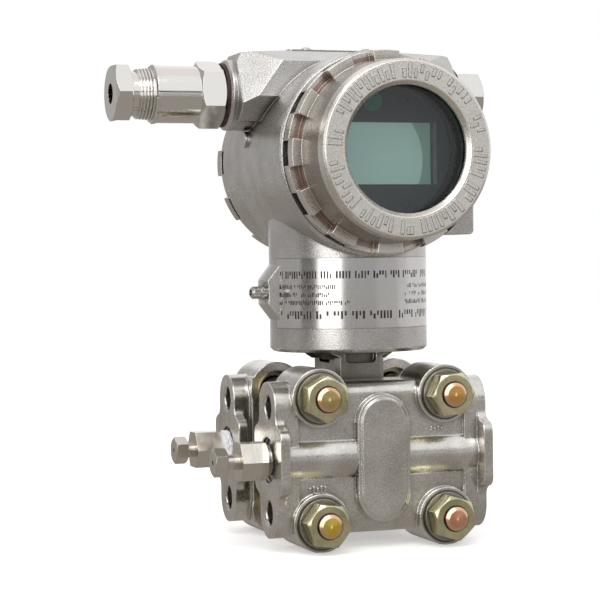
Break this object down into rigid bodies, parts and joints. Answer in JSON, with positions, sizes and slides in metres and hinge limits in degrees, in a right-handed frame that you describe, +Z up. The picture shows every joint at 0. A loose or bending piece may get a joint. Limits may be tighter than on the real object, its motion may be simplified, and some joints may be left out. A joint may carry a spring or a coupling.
{
  "type": "differential pressure transmitter",
  "caption": "Differential pressure transmitter with a swivelling cast stainless head, display cover, cable gland, and bolted process flanges with vent valves.",
  "frame": {"origin": "centre of the four-hole process connection pattern on the right-hand flange ends", "axes": "+X out of the process connection face, +Z up along the head's swivel axis, -Y towards the display"},
  "size_m": [0.1585, 0.13, 0.2013],
  "materials": {
    "flange_stainless": "sand-cast stainless, lightly tumbled",
    "bolt_steel": "zinc plated with a warm iridescent passivate",
    "zinc_yellow": "yellow zinc plate",
    "plain_stainless": "turned stainless",
    "cell_stainless": "machined stainless",
    "black_rubber": "smooth black rubber",
    "vent_steel": "bright turned stainless",
    "white_tape": "wound sealing tape",
    "housing_stainless": "investment-cast stainless, bead blasted",
    "cover_stainless": "investment-cast stainless, satin",
    "window_glass": "clear toughened glass",
    "retainer_dark": "dark anodised",
    "brass_post": "turned brass",
    "board_green": "green solder mask",
    "display_plastic": "dark grey moulded plastic",
    "lcd_glass": "unlit grey-green liquid crystal panel",
    "key_plastic": "dark membrane key",
    "green_label": "plain green round label",
    "terminal_plastic": "black moulded plastic",
    "gasket_fibre": "dark fibre gasket",
    "polished_stainless": "polished turned stainless",
    "plug_stainless": "turned stainless",
    "tag_stainless": "brushed sheet",
    "button_plastic": "black moulded plastic"
  },
  "bodies": {
    "base": {"flange_front": "flange_stainless", "flange_rear": "flange_stainless", "flange_bolts": "bolt_steel", "flange_nuts": "zinc_yellow", "flange_washers": "plain_stainless", "sensor_cell": "cell_stainless", "sensing_capsule": "plain_stainless", "isolating_diaphragms": "plain_stainless", "process_seals": "black_rubber", "vent_body_front": "vent_steel", "vent_body_rear": "vent_steel", "vent_seal_tape": "white_tape"},
    "front_vent_screw": {"vent_screw_front": "vent_steel"},
    "rear_vent_screw": {"vent_screw_rear": "vent_steel"},
    "head": {"housing": "housing_stainless", "swivel_lock_screw": "plain_stainless", "cover_lock_screws": "plain_stainless", "earth_screw": "plain_stainless", "earth_washer": "plain_stainless", "board_posts": "brass_post", "electronics_board": "board_green", "display_posts": "brass_post", "display_case": "display_plastic", "lcd_panel": "lcd_glass", "display_keys": "key_plastic", "inspection_dot": "green_label", "wall_feedthrough": "board_green", "terminal_block": "terminal_plastic", "terminal_screws": "brass_post", "gland_gasket": "gasket_fibre", "gland_body": "polished_stainless", "cable_seal": "black_rubber", "plug_gasket": "gasket_fibre", "conduit_plug": "plug_stainless", "tag_screws": "plain_stainless"},
    "display_cover": {"front_cover": "cover_stainless", "front_cover_seal": "black_rubber", "window_gasket": "black_rubber", "window_glass": "window_glass", "glass_retainer": "retainer_dark"},
    "terminal_cover": {"rear_cover": "cover_stainless", "rear_cover_seal": "black_rubber"},
    "gland_nut": {"gland_cap": "polished_stainless"},
    "tag": {"tag_plate": "tag_stainless"},
    "zero_adjust": {"zero_button": "button_plastic"},
    "span_adjust": {"span_button": "button_plastic"}
  },
  "joints": [
    {"name": "head_swivel", "type": "hinge", "parent": "base", "child": "head", "pos_m": [-0.0444, 0, 0.05], "axis": [0, 0, 1], "range_deg": [-180, 180]},
    {"name": "display_cover_turn", "type": "hinge", "parent": "head", "child": "display_cover", "pos_m": [-0.0444, -0.0366, 0.1194], "axis": [0, -1, 0], "range_deg": [0, 1890]},
    {"name": "terminal_cover_turn", "type": "hinge", "parent": "head", "child": "terminal_cover", "pos_m": [-0.0444, 0.0414, 0.1194], "axis": [0, 1, 0], "range_deg": [0, 1890]},
    {"name": "gland_nut_turn", "type": "hinge", "parent": "head", "child": "gland_nut", "pos_m": [-0.1333, 0.01, 0.1453], "axis": [-1, 0, 0], "range_deg": [0, 1110]},
    {"name": "front_vent_turn", "type": "hinge", "parent": "base", "child": "front_vent_screw", "pos_m": [-0.1012, -0.027, 0], "axis": [-1, 0, 0], "range_deg": [0, 750]},
    {"name": "rear_vent_turn", "type": "hinge", "parent": "base", "child": "rear_vent_screw", "pos_m": [-0.1038, 0.027, 0], "axis": [-1, 0, 0], "range_deg": [0, 750]},
    {"name": "tag_swing", "type": "hinge", "parent": "head", "child": "tag", "pos_m": [-0.0576, 0.01, 0.1626], "axis": [0, 0, 1], "range_deg": [-100, 0]},
    {"name": "zero_press", "type": "slide", "parent": "head", "child": "zero_adjust", "axis": [0, 0, -1], "range_m": [0, 0.0012], "stiffness_N_per_m": 400, "springref_m": -0.001},
    {"name": "span_press", "type": "slide", "parent": "head", "child": "span_adjust", "axis": [0, 0, -1], "range_m": [0, 0.0012], "stiffness_N_per_m": 400, "springref_m": -0.001}
  ]
}
